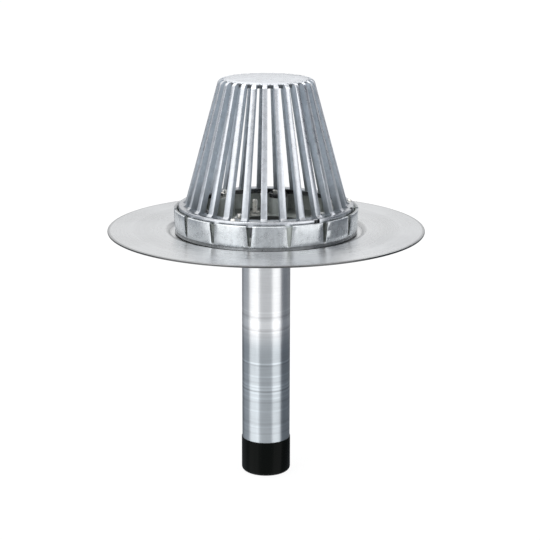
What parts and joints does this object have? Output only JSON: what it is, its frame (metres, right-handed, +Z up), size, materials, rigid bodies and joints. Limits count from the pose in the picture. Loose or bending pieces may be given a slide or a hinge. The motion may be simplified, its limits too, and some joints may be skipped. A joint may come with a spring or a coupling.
{
  "type": "roof drain",
  "caption": "Flat roof drain with a wide spun flange and long outlet stem, a slotted cast clamping ring, a barred dome strainer and a rubber outlet seal.",
  "frame": {"origin": "on the drain's axis, in the plane of the underside of the flange's flat rim, which lies on the roof", "axes": "+Z up along the drain's axis, through the middle of the dome's top; the axis is the same for stem, ring and dome; +X and +Y are horizontal, with -Y at the front"},
  "size_m": [0.4444, 0.4444, 0.5724],
  "materials": {
    "spun_aluminium": "satin, spun, with fine turning marks",
    "cast_aluminium": "as cast, satin, slightly mottled",
    "plated_steel": "bright plated",
    "rubber": "matt black moulded rubber"
  },
  "bodies": {
    "root": {"drain_body": "spun_aluminium", "clamping_ring": "cast_aluminium", "dome_strainer": "cast_aluminium", "outlet_seal": "rubber", "flange_stud_1": "plated_steel", "flange_stud_2": "plated_steel", "flange_stud_3": "plated_steel", "flange_washer_1": "plated_steel", "flange_washer_2": "plated_steel", "flange_washer_3": "plated_steel", "flange_nut_1": "plated_steel", "flange_nut_2": "plated_steel", "flange_nut_3": "plated_steel", "boss_stud_1": "plated_steel", "boss_stud_2": "plated_steel", "boss_stud_3": "plated_steel", "boss_washer_1": "plated_steel", "boss_washer_2": "plated_steel", "boss_washer_3": "plated_steel", "boss_nut_1": "plated_steel", "boss_nut_2": "plated_steel", "boss_nut_3": "plated_steel", "dome_bolt_1": "plated_steel", "dome_bolt_2": "plated_steel", "dome_bolt_3": "plated_steel", "dome_washer_1": "plated_steel", "dome_washer_2": "plated_steel", "dome_washer_3": "plated_steel", "dome_screw_1": "plated_steel", "dome_screw_2": "plated_steel", "dome_screw_3": "plated_steel"}
  },
  "joints": []
}
